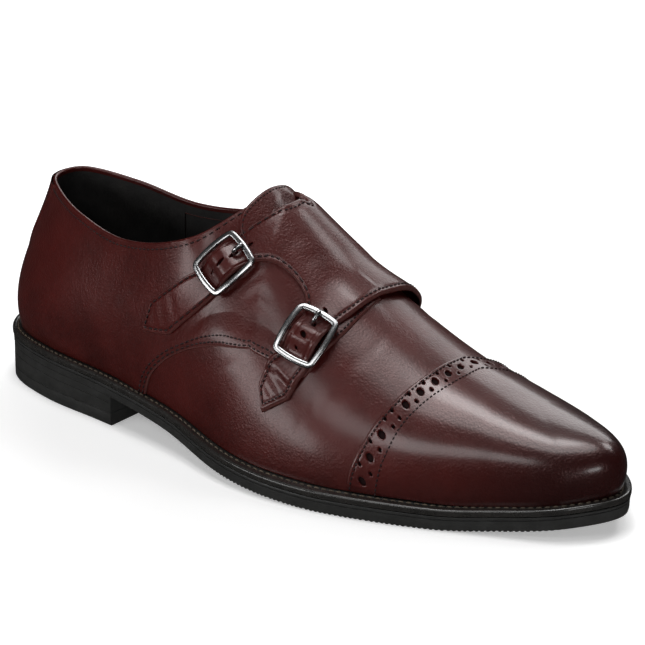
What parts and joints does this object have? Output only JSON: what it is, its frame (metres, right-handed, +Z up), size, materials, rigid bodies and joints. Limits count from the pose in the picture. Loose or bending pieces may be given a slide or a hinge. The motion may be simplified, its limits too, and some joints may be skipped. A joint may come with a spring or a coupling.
{
  "type": "monk strap shoe",
  "caption": "Leather dress shoe with a cap toe and a cross-over flap that closes with two buckled straps, on a welted rubber sole with a low stacked heel.",
  "frame": {"origin": "on the floor, under the middle of the shoe's bounding box", "axes": "+X to the toe, +Y to the wearer's left, which is the inner side of this right shoe, +Z up"},
  "size_m": [0.302, 0.1094, 0.1038],
  "materials": {
    "sole_rubber": "satin black moulded rubber",
    "heel": "polished black edge",
    "welt": "polished black with pale stitches",
    "lining": "matt black lining",
    "upper_leather": "polished oxblood calf",
    "buckle_metal": "polished nickel plate"
  },
  "bodies": {
    "root": {"outsole": "sole_rubber", "welt": "welt", "heel_block": "heel", "heel_top_lift": "sole_rubber", "insole": "lining", "upper": "upper_leather", "toe_cap": "upper_leather", "tongue": "upper_leather", "strap_flap": "upper_leather", "buckle_frame_rear": "buckle_metal", "buckle_prong_rear": "buckle_metal", "buckle_frame_front": "buckle_metal", "buckle_prong_front": "buckle_metal"}
  },
  "joints": []
}
